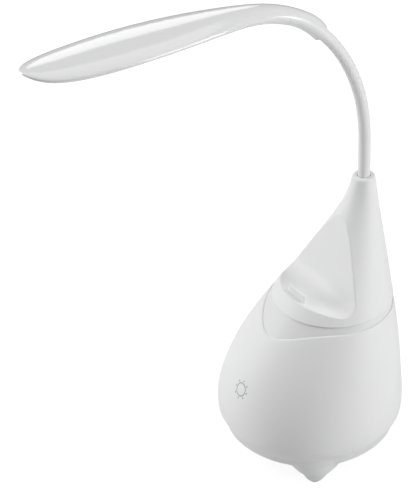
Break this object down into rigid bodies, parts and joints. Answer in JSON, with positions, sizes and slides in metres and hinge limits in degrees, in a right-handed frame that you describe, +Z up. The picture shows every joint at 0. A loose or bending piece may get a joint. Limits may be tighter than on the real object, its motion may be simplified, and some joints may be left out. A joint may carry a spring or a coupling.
{
  "type": "desk lamp",
  "caption": "LED desk lamp with a leaning drop-shaped body on three feet, a telephone rest in its top cover, and a gooseneck carrying a leaf-shaped head",
  "frame": {"origin": "on the table, at the middle of the rear foot's pad, on the lamp's middle plane", "axes": "+Z up; the front, with the touch mark, the telephone rest and the lamp head, looks along -Y; +X is to the right of a viewer who stands in front of the lamp and looks at it"},
  "size_m": [0.1302, 0.2761, 0.372],
  "materials": {
    "shell_white": "fine satin white",
    "head_white": "polished white",
    "band_white": "fine satin white",
    "skin_white": "satin white silicone",
    "pad": "soft pale rubber",
    "diffuser": "milky, translucent",
    "steel": "plated",
    "screw": "plated",
    "ballast": "painted",
    "board": "solder mask",
    "led_board": "white mask",
    "led": "phosphor",
    "cell": "plain sleeve",
    "tray": "moulded",
    "cone": "paper",
    "surround": "soft",
    "basket": "painted",
    "magnet": "sintered",
    "copper": "foil",
    "switch_black": "moulded",
    "key_white": "moulded"
  },
  "bodies": {
    "base": {"ballast_ring": "ballast", "band_frame": "band_white", "battery_cell": "cell", "board_screws": "screw", "body_screws": "screw", "bottom_shell": "shell_white", "cell_tray": "tray", "charging_socket": "steel", "cover_screws": "screw", "foot_pads": "pad", "frame_screws": "screw", "lower_shell": "shell_white", "main_board": "board", "neck_ferrule": "steel", "neck_nut": "steel", "neck_skin_base": "skin_white", "speaker_basket": "basket", "speaker_cone": "cone", "speaker_gasket": "surround", "speaker_magnet": "magnet", "speaker_screws": "screw", "speaker_surround": "surround", "speaker_yoke": "steel", "switch_body": "switch_black", "top_cover": "shell_white", "touch_board": "board", "touch_foil": "copper", "touch_screws": "screw"},
    "neck_1": {"neck_link_1": "steel", "neck_skin_1": "skin_white"},
    "neck_2": {"neck_link_2": "steel", "neck_skin_2": "skin_white"},
    "neck_3": {"neck_link_3": "steel", "neck_skin_3": "skin_white"},
    "neck_4": {"neck_link_4": "steel", "neck_skin_4": "skin_white"},
    "neck_5": {"neck_link_5": "steel", "neck_skin_5": "skin_white"},
    "neck_6": {"neck_link_6": "steel", "neck_skin_6": "skin_white"},
    "neck_7": {"neck_link_7": "steel", "neck_skin_7": "skin_white"},
    "head": {"head_ferrule": "steel", "head_skin": "skin_white", "head_top": "head_white", "head_bottom": "head_white", "head_clamp": "head_white", "diffuser": "diffuser", "led_board": "led_board", "leds": "led", "led_screws": "screw"},
    "power_key": {"switch_knob": "key_white"}
  },
  "joints": [
    {"name": "neck_nod_1", "type": "hinge", "parent": "base", "child": "neck_1", "pos_m": [0, -0.0017, 0.214], "axis": [1, 0, 0], "range_deg": [-15, 15]},
    {"name": "neck_sway_2", "type": "hinge", "parent": "neck_1", "child": "neck_2", "pos_m": [0, -0.0017, 0.231], "axis": [0, 1, 0], "range_deg": [-15, 15]},
    {"name": "neck_nod_3", "type": "hinge", "parent": "neck_2", "child": "neck_3", "pos_m": [0, -0.00237, 0.24798], "axis": [1, 0, 0], "range_deg": [-15, 15]},
    {"name": "neck_sway_4", "type": "hinge", "parent": "neck_3", "child": "neck_4", "pos_m": [0, -0.00476, 0.2648], "axis": [0, 0.9792, 0.2028], "range_deg": [-15, 15]},
    {"name": "neck_nod_5", "type": "hinge", "parent": "neck_4", "child": "neck_5", "pos_m": [0, -0.00924, 0.28119], "axis": [1, 0, 0], "range_deg": [-15, 15]},
    {"name": "neck_sway_6", "type": "hinge", "parent": "neck_5", "child": "neck_6", "pos_m": [0, -0.01574, 0.29688], "axis": [0, 0.898, 0.4399], "range_deg": [-15, 15]},
    {"name": "neck_nod_7", "type": "hinge", "parent": "neck_6", "child": "neck_7", "pos_m": [0, -0.02414, 0.31166], "axis": [1, 0, 0], "range_deg": [-15, 15]},
    {"name": "neck_sway_8", "type": "hinge", "parent": "neck_7", "child": "head", "pos_m": [0, -0.03444, 0.32516], "axis": [0, 0.7478, 0.6639], "range_deg": [-15, 15]},
    {"name": "power_key_slide", "type": "slide", "parent": "base", "child": "power_key", "axis": [1, 0, 0], "range_m": [-0.001, 0.001]}
  ],
  "couplings": [
    {"joint": "neck_nod_3", "follows": "neck_nod_1", "ratio": 1},
    {"joint": "neck_sway_4", "follows": "neck_sway_2", "ratio": 1},
    {"joint": "neck_nod_5", "follows": "neck_nod_1", "ratio": 1},
    {"joint": "neck_sway_6", "follows": "neck_sway_2", "ratio": 1},
    {"joint": "neck_nod_7", "follows": "neck_nod_1", "ratio": 1},
    {"joint": "neck_sway_8", "follows": "neck_sway_2", "ratio": 1}
  ]
}
